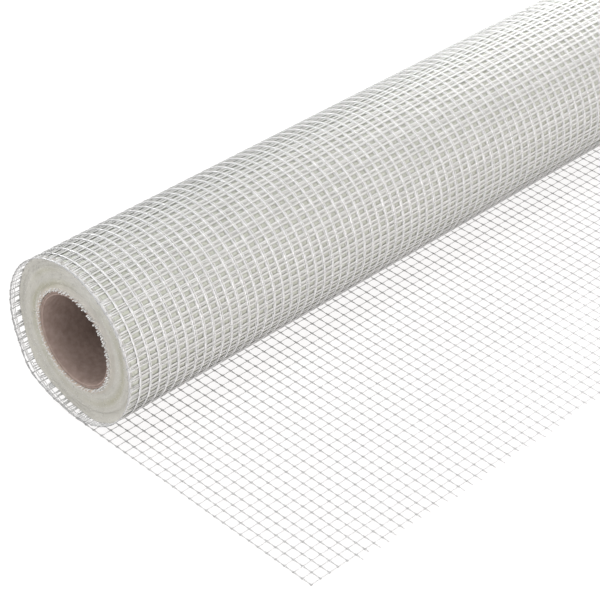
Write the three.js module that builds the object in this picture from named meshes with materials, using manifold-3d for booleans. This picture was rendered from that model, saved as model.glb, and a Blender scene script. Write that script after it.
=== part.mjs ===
// Roll of woven glass fibre mesh on a cardboard core. It lies on its side with its free end
// paid out flat beside it. Millimetres, +Z up. X runs along the core, Y = 0 is the line where
// the roll touches the floor, and the free end lies towards -Y.

import * as THREE from 'three';
import { mergeVertices } from 'three/addons/utils/BufferGeometryUtils.js';
import Module from 'manifold-3d';

// Mesh web
const webWidth = 1000;
const webThickness = 0.45;
const freeLength = 145;

// The cloth's 5 mm cells are too fine for a solid, so the free end has a plain grid of openings.
// Its bars are as wide as makes the grid's share of solid that of the yarns.
const gridColumns = 12;
const gridRows = 2;
const gridBar = 6;

// Wound roll
const rollDiameter = 78;
const outerLipThickness = 1.1;
const innerLipThickness = 2.2;

// Each turn is a full web wide, so what it is set in by at the near end stands out at the far end
const packShift = 5;
const innerLipShift = 1.5;
const coreShift = 2.9;

// Turn edges that show on the ends, as ridges between two shallow grooves
const turnPitch = 2.1;
const turnGrooveDepth = 0.6;

// Cardboard core
const coreLength = 1000;
const coreOuterDiameter = 45;
const coreWall = 1.75;
const coreEdgeChamfer = 0.3;

// Fit and fineness
const seatClearance = 0.3;
const freeEndLap = 1;
const segments = 72;

const rollRadius = rollDiameter / 2;
const coreRadius = coreOuterDiameter / 2;
const nearEnd = -webWidth / 2;

const wasm = await Module();
wasm.setup();

// A closed geometry with its shared vertices merged, as a solid that can be joined
function toSolid(geometry) {
  const bare = geometry.clone();
  bare.deleteAttribute('normal');
  bare.deleteAttribute('uv');
  const merged = mergeVertices(bare);
  return new wasm.Manifold(new wasm.Mesh({
    numProp: 3,
    vertProperties: new Float32Array(merged.attributes.position.array),
    triVerts: new Uint32Array(merged.index.array),
  }));
}

function toGeometry(solid) {
  const mesh = solid.getMesh();
  const geometry = new THREE.BufferGeometry();
  geometry.setAttribute('position', new THREE.BufferAttribute(mesh.vertProperties, 3));
  geometry.setIndex(new THREE.BufferAttribute(mesh.triVerts, 1));
  geometry.computeVertexNormals();
  return geometry;
}

// A ring turned about X from [radius, x] points, with the middle of a facet straight below
function turned(outline) {
  const closed = [...outline, outline[0]];
  const profile = closed.map(([radius, x]) => new THREE.Vector2(radius, x));
  const geometry = new THREE.LatheGeometry(profile, segments);
  geometry.rotateZ(-Math.PI / 2);
  geometry.rotateX(Math.PI / segments);
  return geometry;
}

// Edges of the turns from the bore outwards, as [radius, how far the turn is set in]
function turnEdges() {
  const boreRadius = coreRadius + seatClearance;
  const packInner = boreRadius + innerLipThickness;
  const packOuter = rollRadius - outerLipThickness;
  const turns = Math.max(1, Math.round((packOuter - packInner) / turnPitch));
  const step = (packOuter - packInner) / turns;
  const edges = [[boreRadius, innerLipShift], [packInner, innerLipShift]];
  for (let turn = 0; turn < turns; turn += 1) {
    const groove = packInner + turn * step;
    edges.push([groove, packShift + turnGrooveDepth]);
    edges.push([groove + step / 2, packShift]);
  }
  edges.push([packOuter, packShift + turnGrooveDepth]);
  edges.push([packOuter, 0], [rollRadius, 0]);
  return edges;
}

// All turns as one ring: up the near end, and back down the far end one web width further on
function woundTurns() {
  const edges = turnEdges();
  const nearSide = edges.map(([radius, shift]) => [radius, nearEnd + shift]);
  const farSide = nearSide.map(([radius, x]) => [radius, x + webWidth]).reverse();
  return turned([...nearSide, ...farSide]);
}

// A flat plate on the floor, from its middle, its width along X and its length along Y
function floorPlate(x, y, width, length, thickness) {
  const plate = new THREE.BoxGeometry(width, length, thickness);
  plate.translate(x, y, webThickness / 2 - rollRadius);
  return toSolid(plate);
}

// Flat free end, from just past the floor line to the cut edge, with its grid of openings
function freeEnd() {
  const columnPitch = (webWidth - gridBar) / gridColumns;
  const rowPitch = (freeLength - gridBar) / gridRows;
  let sheet = floorPlate(0, (freeEndLap - freeLength) / 2, webWidth, freeLength + freeEndLap, webThickness);
  for (let column = 0; column < gridColumns; column += 1) {
    for (let row = 0; row < gridRows; row += 1) {
      const x = (column + 0.5) * columnPitch - (webWidth - gridBar) / 2;
      const y = (row + 0.5) * rowPitch + gridBar / 2 - freeLength;
      sheet = sheet.subtract(floorPlate(x, y, columnPitch - gridBar, rowPitch - gridBar, 2 * webThickness));
    }
  }
  return sheet;
}

function glassMesh() {
  const material = new THREE.MeshStandardMaterial({ color: 0xd6d6cf, roughness: 0.45, metalness: 0 });
  const geometry = toGeometry(toSolid(woundTurns()).add(freeEnd()));
  const mesh = new THREE.Mesh(geometry, material);
  mesh.name = 'glass_mesh';
  return mesh;
}

function coreTube() {
  const bore = coreRadius - coreWall;
  const near = nearEnd + coreShift;
  const far = near + coreLength;
  const chamfer = Math.min(coreEdgeChamfer, coreWall / 3);
  const outline = [
    [bore, near + chamfer],
    [bore + chamfer, near],
    [coreRadius - chamfer, near],
    [coreRadius, near + chamfer],
    [coreRadius, far - chamfer],
    [coreRadius - chamfer, far],
    [bore + chamfer, far],
    [bore, far - chamfer],
  ];
  const material = new THREE.MeshStandardMaterial({ color: 0x8a756b, roughness: 0.9, metalness: 0 });
  const tube = new THREE.Mesh(turned(outline), material);
  tube.name = 'core_tube';
  return tube;
}

// Both pieces share the roll's axis, one roll radius above the floor
const meshRoll = new THREE.Group();
meshRoll.add(coreTube(), glassMesh());
meshRoll.position.z = rollRadius;
meshRoll.updateMatrixWorld(true);

export default meshRoll;
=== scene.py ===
# Looks of a roll of glass fibre mesh on a cardboard core, with its free end laid out flat.
# Sizes are in millimetres and become metres where a mesh is made.
import math

import bpy
import numpy as np
from mathutils import Matrix, Vector


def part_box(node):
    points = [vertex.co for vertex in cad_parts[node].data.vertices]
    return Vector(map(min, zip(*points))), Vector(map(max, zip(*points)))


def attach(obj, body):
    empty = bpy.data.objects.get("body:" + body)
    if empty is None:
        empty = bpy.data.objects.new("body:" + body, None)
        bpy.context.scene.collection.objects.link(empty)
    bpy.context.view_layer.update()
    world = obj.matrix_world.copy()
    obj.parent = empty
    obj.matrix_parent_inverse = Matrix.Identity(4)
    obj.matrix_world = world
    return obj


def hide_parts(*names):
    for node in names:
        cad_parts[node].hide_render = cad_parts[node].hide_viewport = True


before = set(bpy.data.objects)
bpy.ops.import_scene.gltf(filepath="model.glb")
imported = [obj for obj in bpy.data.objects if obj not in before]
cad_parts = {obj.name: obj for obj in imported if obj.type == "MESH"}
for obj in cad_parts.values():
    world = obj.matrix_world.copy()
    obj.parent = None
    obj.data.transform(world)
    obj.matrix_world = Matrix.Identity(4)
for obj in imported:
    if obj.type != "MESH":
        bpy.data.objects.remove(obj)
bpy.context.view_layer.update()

MM = 0.001
mesh_low, mesh_high = (np.array(corner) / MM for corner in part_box("glass_mesh"))
core_low, core_high = (np.array(corner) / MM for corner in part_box("core_tube"))

# Weave. The imported yarns are those of the turns below the outer one, and a knot is where coating
# gathers at a crossing of the free end, with its dark colour painted shade at the crossing.
CELL = 5.0
WEFT_PITCH = 5.06
STRAND_WIDE = 0.36
STRAND_THICK = 0.26
STRAND_SPREAD = 0.23
WEFT_WIDE = 0.46
WEFT_THICK = 0.24
WEFT_STUB = 0.15
PACKED_WARP_WIDE = 0.95
PACKED_WARP_SLIMMING = 0.55
PACKED_WEFT_WIDE = (0.8, 1.25, 0.95, 0.6, 1.05)
PACKED_TIP_WIDE = 0.5
TIP_STRAY = 0.14
PACKED_THICK = 0.26
PACKED_WEFT_THICK = 0.16
OUTER_STRAND_WIDE = 0.46
OUTER_STRAND_SPREAD = 0.27
OUTER_WEFT_STUB = 0.6
OUTER_WEFT_SINK = 0.08
KNOT_LONG = 1.0
KNOT_WIDE = 0.76
KNOT_THICK = 0.36

# Cut tails of the warps past the first weft, in cells. The first few are cut at the weft.
SHORT_TAILS = 5
SHORT_TAIL = 0.06
LONG_TAIL = (0.4, 0.8)
TRIMMED_FROM = 30
TRIMMED_SHARE = 0.6

# Roll
ROLL_RADIUS = 39.0
FREE_LENGTH = -mesh_low[1]
CORE_RADIUS = (core_high[2] - core_low[2]) / 2
CORE_WALL = 1.75
AXIS_HEIGHT = ROLL_RADIUS
NEAR_END = mesh_low[0]
WEB_WIDTH = 1000.0
FAR_END = NEAR_END + WEB_WIDTH
FAR_SHIFT = 0.8
WARPS = round(WEB_WIDTH / CELL)
WEB_HALF = 0.22
OUTER_MIDDLE = ROLL_RADIUS - WEB_HALF

# The loose outer turn bulges at one place near the floor and dips before it, by degrees round
BULGE = 2.0
BULGE_MIDDLE = 44
BULGE_WIDTH = 12
DIP = 1.0
DIP_MIDDLE = 10
DIP_WIDTH = 6
BULGE_REACH = 160

# Turns from the outside inwards. The web sinks to WEB_DEPTHS by DEPTH_TURNS turns, and wanders along
# the core to WEB_SHIFTS by SHIFT_TURNS turns. TURN_PHASES are cells that its wefts lie past those of
# the outer turn. The turns nest, so their yarns close up to bands with open lanes between. Warps
# below the turn LAST_SEEN_WARPS lie under these bands.
LOOSE_TURNS = 5
WEFTS_A_TURN = 48
WARP_STEPS = 36
LAST_SEEN_WARPS = 3
DEPTH_TURNS = (0, 1, 2, 2.9, 3.1, 5)
WEB_DEPTHS = (0.0, 0.2, 0.3, 0.38, 0.48, 0.58)
SHIFT_TURNS = (0.8, 1.4, 1.8, 2.4, 2.8, 3.4, 3.8, 4.4)
WEB_SHIFTS = (0.0, 0.85, 0.85, -0.45, -0.45, 0.4, 0.4, 0.0)
TURN_PHASES = (0.13, 0.59, 0.24, 0.405, 0.62)

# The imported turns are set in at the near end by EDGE_INSETS, by degrees round the roll, and the
# loose ones by EDGE_SHARES of that, by turn
EDGE_DEGREES = (0, 22, 45, 72, 108, 150, 216, 306, 342)
EDGE_INSETS = (4.3, 4.3, 2.8, 4.3, 4.5, 3.6, 2.0, 1.8, 2.8)
EDGE_SHARES = (0.0, 0.04, 0.18, 0.36, 0.55, 0.75)
EDGE_REACH = 7.0
LEAN = 0.7
LEAN_MIDDLE = 1.25

rng = np.random.default_rng(7)


# Mesh building

def new_object(name, points, faces):
    mesh = bpy.data.meshes.new(name)
    points = np.asarray(points, float).reshape(-1, 3) * MM
    corners = np.concatenate([np.asarray(group).ravel() for group in faces])
    sizes = np.concatenate([np.full(len(group), np.shape(group)[1]) for group in faces])
    mesh.vertices.add(len(points))
    mesh.vertices.foreach_set("co", points.astype(np.float32).ravel())
    mesh.loops.add(len(corners))
    mesh.loops.foreach_set("vertex_index", corners.astype(np.int32))
    mesh.polygons.add(len(sizes))
    starts = np.concatenate([[0], np.cumsum(sizes)[:-1]])
    mesh.polygons.foreach_set("loop_start", starts.astype(np.int32))
    mesh.polygons.foreach_set("use_smooth", np.full(len(sizes), True))
    mesh.update(calc_edges=True)
    obj = bpy.data.objects.new(name, mesh)
    bpy.context.scene.collection.objects.link(obj)
    return obj


def section(sides):
    """Points round a flat oval, as (across, up), each from -1 to 1."""
    turn = np.arange(sides) * 2 * math.pi / sides
    return np.cos(turn), np.sin(turn)


def tubes(centre, across, up, half_wide, half_thick, sides):
    """Points and faces of closed tubes: centre, across and up are (tubes, points, 3)."""
    count, along = centre.shape[:2]
    cos, sin = section(sides)
    wide = np.broadcast_to(half_wide, (count, along))[..., None, None]
    thick = np.broadcast_to(half_thick, (count, along))[..., None, None]
    ring = centre[:, :, None, :] + across[:, :, None, :] * wide * cos[None, None, :, None]
    ring = ring + up[:, :, None, :] * thick * sin[None, None, :, None]
    index = np.arange(count * along * sides).reshape(count, along, sides)
    a = index[:, :-1, :]
    b = index[:, 1:, :]
    quads = np.stack([a, np.roll(a, -1, 2), np.roll(b, -1, 2), b], -1).reshape(-1, 4)
    caps = np.concatenate([index[:, 0, ::-1], index[:, -1, :]])
    return ring.reshape(-1, 3), quads, caps


def tube_object(name, batches):
    """One object from several (centre, across, up, half_wide, half_thick, sides) batches."""
    points, faces, base = [], [], 0
    for batch in batches:
        ring, quads, caps = tubes(*batch)
        points.append(ring)
        faces += [quads + base, caps + base]
        base += len(ring)
    return new_object(name, np.concatenate(points), faces)


# The web, as a path from the cut end along the floor and then inwards round the roll. A place on
# it is a number of cells from the cut end.

FLAT_CELLS = FREE_LENGTH / WEFT_PITCH


def bump(x, middle, width):
    return np.exp(-((x - middle) / width) ** 2)


def slack(angle, x):
    """How far the loose outer turn stands off its circle, strongest at the near end."""
    degrees = np.degrees(angle)
    shape = BULGE * bump(degrees, BULGE_MIDDLE, BULGE_WIDTH) - DIP * bump(degrees, DIP_MIDDLE, DIP_WIDTH)
    return shape * np.exp(-(x - NEAR_END) / BULGE_REACH)


def edge_inset(degrees):
    return np.interp(degrees, EDGE_DEGREES, EDGE_INSETS, period=360)


def drift(turn, x):
    """How far the web has wandered along the core, as a whole and at its near edge."""
    degrees = 360 * (turn % 1)
    inside = np.interp(turn, SHIFT_TURNS, WEB_SHIFTS)
    share = np.interp(turn, np.arange(len(EDGE_SHARES)), EDGE_SHARES)
    at_edge = edge_inset(degrees) * share * np.clip((turn - 1) / 0.06, 0, 1)
    lean = (LEAN_MIDDLE + LEAN * np.sin(np.radians(degrees - 217))) * np.clip(3 * turn, 0, 1)
    edge = np.exp((NEAR_END - x) / EDGE_REACH)
    return (inside + lean) * (1 - edge) + at_edge * edge


def web(cells, x, lift):
    """Place, forward and up directions of web points."""
    cells, x, lift = np.broadcast_arrays(cells, x, lift)
    flat = cells < FLAT_CELLS
    turn = np.maximum(cells - FLAT_CELLS, 0) / WEFTS_A_TURN
    angle = turn * 2 * math.pi
    off = slack(angle, x) * np.clip(3 - 2 * turn, 0, 1)
    radius = OUTER_MIDDLE - np.interp(turn, DEPTH_TURNS, WEB_DEPTHS) + off - lift
    y = np.where(flat, (cells - FLAT_CELLS) * WEFT_PITCH, radius * np.sin(angle))
    z = np.where(flat, WEB_HALF + lift, AXIS_HEIGHT - radius * np.cos(angle))
    place = np.stack([x + drift(turn, x), y, z], -1)
    forward = np.stack([np.zeros_like(x), np.cos(angle), np.sin(angle)], -1)
    up = np.stack([np.zeros_like(x), -np.sin(angle), np.cos(angle)], -1)
    return place, forward, up


def across_like(place):
    side = np.zeros_like(place)
    side[..., 0] = 1
    return side


# Leno warps: two strands that cross between wefts, and pass over and under at each weft

def warp_places():
    return NEAR_END + CELL * np.arange(WARPS + 1)


def wander(cells, x):
    """How far a warp strays sideways."""
    return 0.10 * np.sin(cells / 4.5 + x / 31) + 0.07 * np.sin(cells / 1.8 + x * 1.7)


def leno(cells, first=None, wide=STRAND_WIDE, spread=STRAND_SPREAD):
    """Both strands of every warp. first is where each warp starts, in cells."""
    x = warp_places()[:, None]
    cells = np.broadcast_to(cells, (len(x), len(cells))).copy()
    if first is not None:
        cells[:, 0] = first
    batches = []
    for sign in (1, -1):
        sideways = sign * spread * np.cos(math.pi * cells)
        lift = sign * 0.11 * np.cos(math.pi * cells + 0.35)
        place, forward, up = web(cells, x + sideways + wander(cells, x), lift)
        batches.append((place, across_like(place), up, wide / 2, STRAND_THICK / 2, 4))
    return batches


def knots(cells):
    """Where coating gathers at the crossings of the free end, as short flat beads."""
    x = np.repeat(warp_places(), len(cells))[:, None]
    at = np.tile(cells, WARPS + 1)[:, None]
    along = np.array([-0.5, 0.5]) * KNOT_LONG
    place, forward, up = web(at + 0 * along, x + wander(at, x) + along, 0)
    return [(place, forward, up, KNOT_WIDE / 2, KNOT_THICK / 2, 4)]


def near_edge(x):
    """From 1 at either edge of the web to 0 well inside it."""
    return np.exp(-np.minimum(x - NEAR_END, FAR_END - x).clip(0) / EDGE_REACH)


def packed_warps(turn):
    """Single flat warps for a turn below the outer one, slimmer at the edges."""
    start = FLAT_CELLS + turn * WEFTS_A_TURN
    cells = np.linspace(start, start + WEFTS_A_TURN, WARP_STEPS + 1)[None, :]
    x = warp_places()[:, None] + 0.12 * np.sin(cells / 2.1 + np.arange(WARPS + 1)[:, None] * 2.4)
    place, forward, up = web(cells, x, 0)
    wide = PACKED_WARP_WIDE * (1 - PACKED_WARP_SLIMMING * near_edge(x))
    return [(place, across_like(place), up, wide / 2, PACKED_THICK / 2, 4)]


def wefts(cells, steps, wide, thick, stub=WEFT_STUB, sink=0.0, tip_wide=WEFT_WIDE):
    """Wefts at those cells, which stand a stub past the outermost warps and are slimmer there. Those
    below the outer turn stray there too."""
    cells = cells[:, None]
    inside = np.linspace(NEAR_END, FAR_END, steps + 1)[1:-1]
    ends = np.array([0.0, 4.0, 12.0])
    x = np.concatenate([NEAR_END + ends - stub, inside[1:-1], FAR_END - ends[::-1] + stub])[None, :]
    wave = 0.024 * np.sin(x / 47 + cells * 4.6) + 0.012 * np.sin(x / 13 + cells * 11.6)
    inner = cells > FLAT_CELLS + WEFTS_A_TURN
    stray = TIP_STRAY * np.sin(cells * 7.3) * near_edge(x) * inner
    place, forward, up = web(cells + wave + stray, x, sink)
    wide = wide - (wide - tip_wide) * near_edge(x)
    wide = np.broadcast_to(wide, place.shape[:2])
    return [(place, forward, up, wide / 2, thick / 2, 6)]


def turn_wefts(turn):
    first = math.ceil(FLAT_CELLS) + turn * WEFTS_A_TURN
    return first + np.arange(WEFTS_A_TURN) + TURN_PHASES[turn]


def free_end():
    """The flat stretch: warps with cut tails, and its wefts."""
    short = np.arange(WARPS + 1) < SHORT_TAILS
    tail = np.where(short, SHORT_TAIL, rng.uniform(*LONG_TAIL, WARPS + 1))
    tail[TRIMMED_FROM:] *= TRIMMED_SHARE
    steps = np.arange(-1, 2 * FLAT_CELLS + 1) / 2
    cells = np.append(steps[steps < FLAT_CELLS], FLAT_CELLS)
    crossed = np.arange(math.ceil(FLAT_CELLS))
    yarns = leno(cells, -tail) + wefts(crossed, 20, WEFT_WIDE, WEFT_THICK)
    return tube_object("free_end", yarns), tube_object("free_end_knots", knots(crossed))


def outer_turn():
    cells = FLAT_CELLS + np.arange(2 * WEFTS_A_TURN + 1) / 2
    over, under = leno(cells, wide=OUTER_STRAND_WIDE, spread=OUTER_STRAND_SPREAD)
    wide = PACKED_WEFT_WIDE[0]
    bars = wefts(turn_wefts(0), 40, wide, PACKED_WEFT_THICK, OUTER_WEFT_STUB, OUTER_WEFT_SINK)
    return [
        tube_object("outer_turn_warps_a", [over]),
        tube_object("outer_turn_warps_b", [under]),
        tube_object("outer_turn_wefts", bars),
    ]


def inner_turn(turn):
    wide = PACKED_WEFT_WIDE[turn]
    bars = wefts(turn_wefts(turn), 12, wide, PACKED_WEFT_THICK, tip_wide=PACKED_TIP_WIDE)
    pieces = [tube_object(f"turn_{turn + 1}_wefts", bars)]
    if turn <= LAST_SEEN_WARPS:
        pieces.append(tube_object(f"turn_{turn + 1}_warps", packed_warps(turn)))
    return pieces


# Packed turns below the loose ones, as one ring with their edges on its ends

PACK_OUTER = OUTER_MIDDLE - 0.62
PACK_SINK = 0.1
PACK_INNER = CORE_RADIUS + 0.25
PACK_PITCH = 0.33
PACK_RIDGES = 24
PACK_RIDGE_DEPTH = 0.12
PACK_COLUMNS = 480
PACK_INSET = 4.5
LOOSENS_AT = 34.5
LIP_RADIUS = 24.6
LIP_SHARPNESS = 0.22
LIP_SHIFT = 2.3
TIP_POINTS = np.array([0.0, 0.2, 2.0])
TIP_SIZES = np.array([0.55, 1.0, 1.0])
BORE_TIPS = 60
BORE_TIP_ROWS = (0.1, 0.5, 1.0)


def smooth(value, low, high):
    step = np.clip((value - low) / (high - low), 0, 1)
    return step * step * (3 - 2 * step)


def pack_edge(radius, angle):
    """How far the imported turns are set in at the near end."""
    lip = 1 / (1 + np.exp((radius - LIP_RADIUS) / LIP_SHARPNESS))
    outer = edge_inset(np.degrees(angle))
    inset = PACK_INSET + (outer - PACK_INSET) * smooth(radius, LOOSENS_AT, PACK_OUTER)
    waves = 0.35 * np.sin(radius * 0.9 + 0.4) + 0.16 * np.sin(radius * 2.9 + angle + 1.0)
    return inset + (LIP_SHIFT - inset) * lip + waves * (1 - lip)


def packed_turns():
    radii = np.linspace(PACK_INNER, PACK_OUTER, 2 * PACK_RIDGES + 1)
    ridge = np.where(np.arange(len(radii)) % 2 == 0, PACK_RIDGE_DEPTH, 0.0)
    angle = np.arange(PACK_COLUMNS) * 2 * math.pi / PACK_COLUMNS
    radius, around = np.meshgrid(radii, angle, indexing="ij")
    streaks = 0.06 * np.sin(97 * around + 3 * radius) + 0.05 * np.sin(60 * around - 4 * radius)
    inset = pack_edge(radius, around) + ridge[:, None] + streaks
    reach = np.array([1.0, 4.0, 8.0])[:, None]
    side = radius[-1] - PACK_SINK * np.array([0.4, 0.8, 1.0])[:, None]
    x = np.concatenate([
        NEAR_END + inset, NEAR_END + inset[-1] + reach,
        FAR_END + inset[-1] + FAR_SHIFT - reach[::-1], FAR_END + inset[::-1] + FAR_SHIFT,
    ])
    radius = np.concatenate([radius, side, side[::-1], radius[::-1]])
    around = np.broadcast_to(angle, radius.shape)
    points = np.stack([x, radius * np.sin(around), AXIS_HEIGHT - radius * np.cos(around)], -1)
    rows = len(points)
    index = np.arange(rows * PACK_COLUMNS).reshape(rows, PACK_COLUMNS)
    below = np.roll(index, -1, 0)
    quads = np.stack([index, below, np.roll(below, -1, 1), np.roll(index, -1, 1)], -1)
    obj = new_object("packed_turns", points, [quads.reshape(-1, 4)])
    row = np.arange(rows)
    on_side = (row >= len(radii) - 1) & (row < rows - len(radii))
    slots = np.repeat(on_side.astype(np.int32), PACK_COLUMNS)
    obj.data.polygons.foreach_set("material_index", slots)
    add_tints(obj, radius, around)
    return obj


def add_tints(obj, radius, angle):
    """How olive and dark the ends are, in bands by angle and radius, how tan next to the core and how
    shaded away from the front, where the outer turns are loose."""
    degrees = np.degrees(angle)
    middle_at = [(0, 31), (60, 29.5), (100, 28.6), (120, 27), (140, 25.5), (225, 27), (285, 29.3)]
    amount_at = [(0, 0.1), (60, 0.6), (105, 1), (150, 0.9), (190, 0.1), (240, 0.6), (315, 1), (345, 0.4)]
    middle = np.interp(degrees, *zip(*middle_at), period=360)
    amount = np.interp(degrees, *zip(*amount_at), period=360)
    olive = amount * bump(radius, middle, 1.5) + 0.7 * bump(radius, 31.8, 1.2) * bump(degrees, 142, 22)
    tan_side = smooth(np.cos(angle - math.radians(45)), -0.2, 0.5)
    tan = (1 - smooth(radius, 23.6, 26.0)) * (0.3 + 0.7 * tan_side)
    pale = bump(degrees, 218, 52) * (0.5 + 0.5 * smooth(radius, 32.5, 36))
    for name, value in (("olive", olive), ("tan", tan), ("shade", 1 - pale)):
        layer = obj.data.attributes.new(name, "FLOAT", "POINT")
        layer.data.foreach_set("value", np.clip(value, 0, 1).astype(np.float32).ravel())


def tips(name, radius, angle, reach, wide, tall):
    """Cut ends of wefts on the near and far end, as stubs with blunt points."""
    batches = []
    inset = pack_edge(radius, angle % (2 * math.pi))
    for end, way in ((NEAR_END, 1), (FAR_END + FAR_SHIFT, -1)):
        x = (end + inset - way * reach)[:, None] + way * TIP_POINTS[None, :]
        around = angle[:, None] + 0 * x
        r = radius[:, None] + 0 * x
        place = np.stack([x, r * np.sin(around), AXIS_HEIGHT - r * np.cos(around)], -1)
        forward = np.stack([0 * x, np.cos(around), np.sin(around)], -1)
        up = np.stack([0 * x, -np.sin(around), np.cos(around)], -1)
        batches.append((place, forward, up, wide / 2 * TIP_SIZES, tall / 2 * TIP_SIZES, 4))
    return tube_object(name, batches)


def bore_tips():
    """The innermost turns' tips, which reach over the bore on one side."""
    angle = np.arange(BORE_TIPS) * 2 * math.pi / BORE_TIPS + rng.uniform(-0.03, 0.03, BORE_TIPS)
    angle = np.concatenate([angle, angle + 0.04, angle + 0.07])
    radius = PACK_INNER + np.repeat(BORE_TIP_ROWS, BORE_TIPS)
    facing = 0.3 + 0.7 * smooth(np.cos(angle - math.radians(240)), -0.1, 0.4)
    reach = rng.uniform(0.6, 1.5, len(angle)) * facing
    radius = radius + rng.uniform(-0.3, 0.2, len(angle))
    return tips("bore_tips", radius, angle, reach, 0.8, 0.6)


def edge_tips():
    """The tips of every other weft between, along the spiral that the web is wound in."""
    growth = PACK_PITCH / (4 * math.pi)
    start = LIP_RADIUS + 0.6
    length = np.arange(0, (PACK_OUTER ** 2 - start ** 2) * math.pi / PACK_PITCH, 2 * WEFT_PITCH)
    angle = (np.sqrt(start ** 2 + 4 * growth * length) - start) / (2 * growth)
    radius = start + 2 * growth * angle
    reach = rng.uniform(0.05, 0.35, len(angle))
    return tips("edge_tips", radius, angle, reach, 0.6, 0.3)


def core_board():
    """The core tube, with rounded rims and the line between its plies."""
    bore = CORE_RADIUS - CORE_WALL
    near = core_low[0]
    far = core_high[0]
    middle = (bore + CORE_RADIUS) / 2
    rim = [
        (bore, 0.35), (bore + 0.1, 0.1), (bore + 0.3, 0.0), (middle - 0.2, 0.02),
        (middle - 0.05, 0.35), (middle + 0.05, 0.35), (middle + 0.2, 0.02),
        (CORE_RADIUS - 0.3, 0.0), (CORE_RADIUS - 0.1, 0.1), (CORE_RADIUS, 0.35),
    ]
    outline = [(radius, near + inset) for radius, inset in rim]
    outline += [(CORE_RADIUS, x) for x in np.linspace(near, far, 12)[1:-1]]
    outline += [(radius, far - inset) for radius, inset in reversed(rim)]
    outline += [(bore, x) for x in np.linspace(far, near, 40)[1:-1]]
    outline = np.array(outline)
    columns = 240
    angle = np.arange(columns) * 2 * math.pi / columns
    radius = outline[:, :1] + 0 * angle
    x = outline[:, 1:] + 0 * angle
    around = angle + 0 * radius
    points = np.stack([x, radius * np.sin(around), AXIS_HEIGHT - radius * np.cos(around)], -1)
    index = np.arange(points.shape[0] * columns).reshape(-1, columns)
    below = np.roll(index, -1, 0)
    quads = np.stack([index, np.roll(index, -1, 1), np.roll(below, -1, 1), below], -1)
    return new_object("core_board", points, [quads.reshape(-1, 4)])


# Materials

def node_material(name, roughness, specular):
    material = bpy.data.materials.new(name)
    material.use_nodes = True
    nodes = material.node_tree.nodes
    shader = nodes["Principled BSDF"]
    shader.inputs["Roughness"].default_value = roughness
    shader.inputs["Specular IOR Level"].default_value = specular
    return material, nodes, material.node_tree.links, shader


def noise(nodes, links, scale, detail):
    place = nodes.new("ShaderNodeTexCoord")
    texture = nodes.new("ShaderNodeTexNoise")
    texture.inputs["Scale"].default_value = scale
    texture.inputs["Detail"].default_value = detail
    links.new(place.outputs["Object"], texture.inputs["Vector"])
    return texture.outputs["Fac"]


def ramp(nodes, links, factor, stops):
    node = nodes.new("ShaderNodeValToRGB")
    links.new(factor, node.inputs["Fac"])
    elements = node.color_ramp.elements
    while len(elements) < len(stops):
        elements.new(0.5)
    for element, (position, colour) in zip(elements, stops):
        element.position = position
        element.color = (*colour, 1)
    return node.outputs["Color"]


def add_bump(nodes, links, shader, height, distance, strength):
    node = nodes.new("ShaderNodeBump")
    node.inputs["Distance"].default_value = distance
    node.inputs["Strength"].default_value = strength
    links.new(height, node.inputs["Height"])
    links.new(node.outputs["Normal"], shader.inputs["Normal"])


def multiply(nodes, links, first, second):
    node = nodes.new("ShaderNodeMix")
    node.data_type = "RGBA"
    node.blend_type = "MULTIPLY"
    node.inputs["Factor"].default_value = 1
    links.new(first, node.inputs["A"])
    links.new(second, node.inputs["B"])
    return node.outputs["Result"]


def from_middle(nodes, links):
    """How far the shaded point is from the web's middle along the core, in metres."""
    place = nodes.new("ShaderNodeTexCoord")
    parts = nodes.new("ShaderNodeSeparateXYZ")
    links.new(place.outputs["Object"], parts.inputs["Vector"])
    size = nodes.new("ShaderNodeMath")
    size.operation = "ABSOLUTE"
    links.new(parts.outputs["X"], size.inputs[0])
    return size.outputs["Value"]


def in_range(nodes, links, value, low, high):
    node = nodes.new("ShaderNodeMapRange")
    node.inputs["From Min"].default_value = low
    node.inputs["From Max"].default_value = high
    links.new(value, node.inputs["Value"])
    return node.outputs["Result"]


def yarn_material(name, dark, light, roughness, selvedge_shade=None, gloss=0.0, inside=None):
    """Coated yarn. The selvedge tint is painted shade on the outermost warps, which are one layer of yarn
    with no turns below to light it, and inside is painted shade on yarn between other turns, away from the
    open edges."""
    material, nodes, links, shader = node_material(name, roughness, 0.6 + 0.4 * gloss)
    shader.inputs["Coat Weight"].default_value = gloss
    shader.inputs["Coat Roughness"].default_value = 0.16
    colour = ramp(nodes, links, noise(nodes, links, 260, 3), [(0.3, dark), (0.7, light)])
    along = from_middle(nodes, links)
    # Painted shade: the outermost warps are darker, as one layer of yarn with no turns below to light it.
    if selvedge_shade:
        edge = in_range(nodes, links, along, 0.4975, 0.4999)
        colour = multiply(nodes, links, colour, ramp(nodes, links, edge, [(0, (1, 1, 1)), (1, selvedge_shade)]))
    # Painted shade: yarn between other turns is darker away from the open edges.
    if inside:
        edge = in_range(nodes, links, along, 0.4955, 0.4985)
        colour = multiply(nodes, links, colour, ramp(nodes, links, edge, [(0, inside), (1, (1, 1, 1))]))
    links.new(colour, shader.inputs["Base Color"])
    add_bump(nodes, links, shader, noise(nodes, links, 2200, 2), 0.00008, 0.5)
    return material


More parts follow.
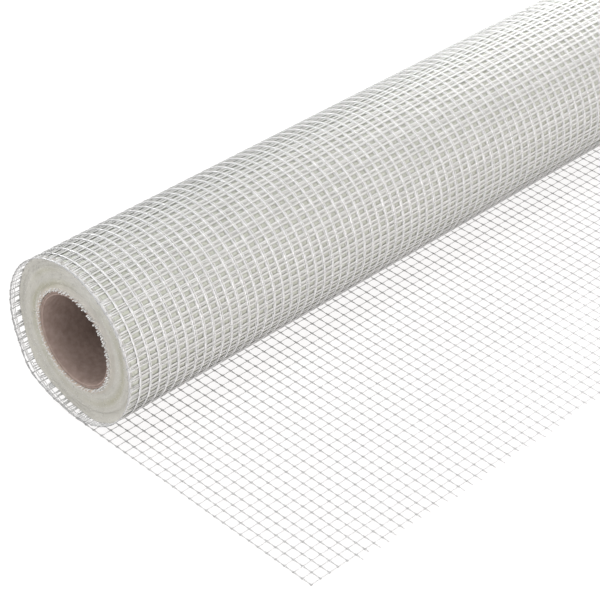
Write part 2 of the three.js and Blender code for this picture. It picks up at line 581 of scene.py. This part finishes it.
def pack_material():
    material, nodes, links, shader = node_material("packed_edges", 0.45, 0.4)
    colour = ramp(nodes, links, noise(nodes, links, 160, 4), [(0.3, (0.88, 0.88, 0.87)), (0.7, (1, 1, 1))])
    for name, plain, full in (
        ("olive", (0.71, 0.70, 0.675), (0.56, 0.55, 0.46)),
        ("tan", (1, 1, 1), (0.92, 0.80, 0.74)),
        ("shade", (1, 1, 1), (0.84, 0.83, 0.785)),
    ):
        layer = nodes.new("ShaderNodeAttribute")
        layer.attribute_name = name
        tint = ramp(nodes, links, layer.outputs["Fac"], [(0, plain), (1, full)])
        colour = multiply(nodes, links, colour, tint)
    links.new(colour, shader.inputs["Base Color"])
    add_bump(nodes, links, shader, noise(nodes, links, 1500, 3), 0.0002, 0.5)
    return material


def ground_material():
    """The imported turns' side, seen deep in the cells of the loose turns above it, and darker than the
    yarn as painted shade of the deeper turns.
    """
    material, nodes, links, shader = node_material("packed_side_painted_shade", 0.6, 0.3)
    tone = noise(nodes, links, 700, 2)
    colour = ramp(nodes, links, tone, [(0.35, (0.36, 0.37, 0.32)), (0.7, (0.45, 0.46, 0.41))])
    links.new(colour, shader.inputs["Base Color"])
    return material


def board_material():
    material, nodes, links, shader = node_material("core_board", 0.85, 0.2)
    tone = noise(nodes, links, 420, 5)
    colour = ramp(nodes, links, tone, [(0.3, (0.30, 0.225, 0.197)), (0.7, (0.40, 0.31, 0.272))])
    links.new(colour, shader.inputs["Base Color"])
    add_bump(nodes, links, shader, noise(nodes, links, 900, 4), 0.0002, 0.6)
    return material


# Stage

def floor():
    reach = 12000
    drop = 0.05
    corners = ((-reach, -reach), (reach, -reach), (reach, reach), (-reach, reach))
    points = [(x, y, -drop) for x, y in corners]
    plane = new_object("floor", points, [np.array([[0, 1, 2, 3]])])
    material, nodes, links, shader = node_material("floor", 0.8, 0.1)
    shader.inputs["Base Color"].default_value = (0.12, 0.12, 0.12, 1)
    shader.inputs["Emission Color"].default_value = (1, 0.985, 0.98, 1)
    shader.inputs["Emission Strength"].default_value = 0.9
    plane.data.materials.append(material)


def hang(data, place, aim):
    light = bpy.data.objects.new(data.name, data)
    light.location = place
    direction = Vector(aim) - Vector(place)
    light.rotation_euler = direction.to_track_quat("-Z", "Y").to_euler()
    bpy.context.scene.collection.objects.link(light)


def area_light(name, place, aim, size, power, colour=(1, 1, 1)):
    data = bpy.data.lights.new(name, "AREA")
    data.shape = "DISK"
    data.size = size
    data.energy = power
    data.color = colour
    hang(data, place, aim)


def spot_light(name, place, aim, degrees, power):
    data = bpy.data.lights.new(name, "SPOT")
    data.spot_size = math.radians(degrees)
    data.spot_blend = 1.0
    data.shadow_soft_size = 0.3
    data.energy = power
    hang(data, place, aim)


def lights():
    world = bpy.data.worlds.new("studio")
    world.use_nodes = True
    back = world.node_tree.nodes["Background"]
    back.inputs["Color"].default_value = (1, 1, 1, 1)
    back.inputs["Strength"].default_value = 0.66
    bpy.context.scene.world = world
    area_light("overhead", (-0.4, -0.1, 2.4), (-0.4, 0, 0), 1.2, 29)
    area_light("front", (-0.9, -1.9, 1.2), (-0.3, 0, 0), 0.4, 6)
    area_light("left", (-1.7, 0.6, 1.3), (-0.5, 0, 0.04), 0.6, 5)
    area_light("low", (-0.4, -2.2, 0.35), (-0.3, 0, 0.04), 0.6, 26, (1.0, 0.94, 0.92))
    area_light("behind", (-0.4, 2.0, 1.0), (-0.4, 0, 0.08), 1.0, 30)
    spot_light("back", (0.15, 1.2, 1.2), (0.14, 0, 0.04), 24, 760)


def camera():
    """Where the photograph was taken from, fitted to the cells of the flat free end."""
    data = bpy.data.cameras.new("camera")
    data.sensor_width = 36
    data.lens = 137.7
    data.clip_start = 0.05
    data.clip_end = 50
    place = Vector((-0.967, -0.610, 0.618))
    forward = Vector((0.5678, 0.5751, -0.5889)).normalized()
    right = Vector((0.7159, -0.6981, 0.0085)).normalized()
    up = right.cross(forward)
    turn = Matrix((right, up, -forward)).transposed()
    obj = bpy.data.objects.new("camera", data)
    obj.matrix_world = Matrix.Translation(place) @ turn.to_4x4()
    bpy.context.scene.collection.objects.link(obj)
    bpy.context.scene.camera = obj


def dress():
    # Painted shade for the outermost warps, one layer of yarn with nothing below to light it.
    single_layer_shade = (0.6, 0.6, 0.6)
    yarn = yarn_material("coated_yarn", (0.46, 0.46, 0.45), (0.53, 0.53, 0.52), 0.8, single_layer_shade)
    glossy = yarn_material("glossy_yarn", (0.59, 0.59, 0.60), (0.70, 0.70, 0.71), 0.32, single_layer_shade, 0.6)
    # Painted shade: the flat end's yarn is darker than the outer turn's warps, as one layer of yarn with
    # no turns below to light it.
    loose = yarn_material("free_yarn_painted_shade", (0.47, 0.47, 0.47), (0.55, 0.55, 0.55), 0.5)
    # The three yarns below share one colour, with painted shade of different strength between the turns,
    # away from the open edges.
    bright = ((0.60, 0.60, 0.60), (0.68, 0.68, 0.68))
    deep = yarn_material("deep_yarn_painted_shade", *bright, 0.6, inside=(0.84, 0.84, 0.82))
    bar = yarn_material("bar_yarn_painted_shade", *bright, 0.8, inside=(0.72, 0.72, 0.70))
    shaded = yarn_material("shaded_yarn", *bright, 0.8, inside=(0.66, 0.66, 0.63))
    # Painted shade: the knots are darker than the yarn they join, for the shade at each crossing.
    knot = yarn_material("knot_yarn_painted_shade", (0.30, 0.30, 0.30), (0.38, 0.38, 0.38), 0.6)
    tip = yarn_material("tip_yarn", (0.66, 0.66, 0.65), (0.74, 0.74, 0.73), 0.4)
    sheet, beads = free_end()
    outer = outer_turn()
    inner = [piece for turn in range(1, LOOSE_TURNS) for piece in inner_turn(turn)]
    pack = packed_turns()
    stubs = [bore_tips(), edge_tips()]
    board = core_board()
    sheet.data.materials.append(loose)
    beads.data.materials.append(knot)
    for piece, material in zip(outer, (glossy, glossy, yarn)):
        piece.data.materials.append(material)
    for piece, material in zip(inner, (bar, deep, bar, deep, shaded, deep, bar)):
        piece.data.materials.append(material)
    stubs[0].data.materials.append(tip)
    edges = pack_material()
    stubs[1].data.materials.append(edges)
    pack.data.materials.append(edges)
    pack.data.materials.append(ground_material())
    board.data.materials.append(board_material())
    for piece in [sheet, beads, pack, *stubs, *outer, *inner]:
        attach(piece, "root")
        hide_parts("glass_mesh")
    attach(board, "root")
    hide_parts("core_tube")


dress()
floor()
lights()
camera()
bpy.context.scene.view_settings.view_transform = "Standard"
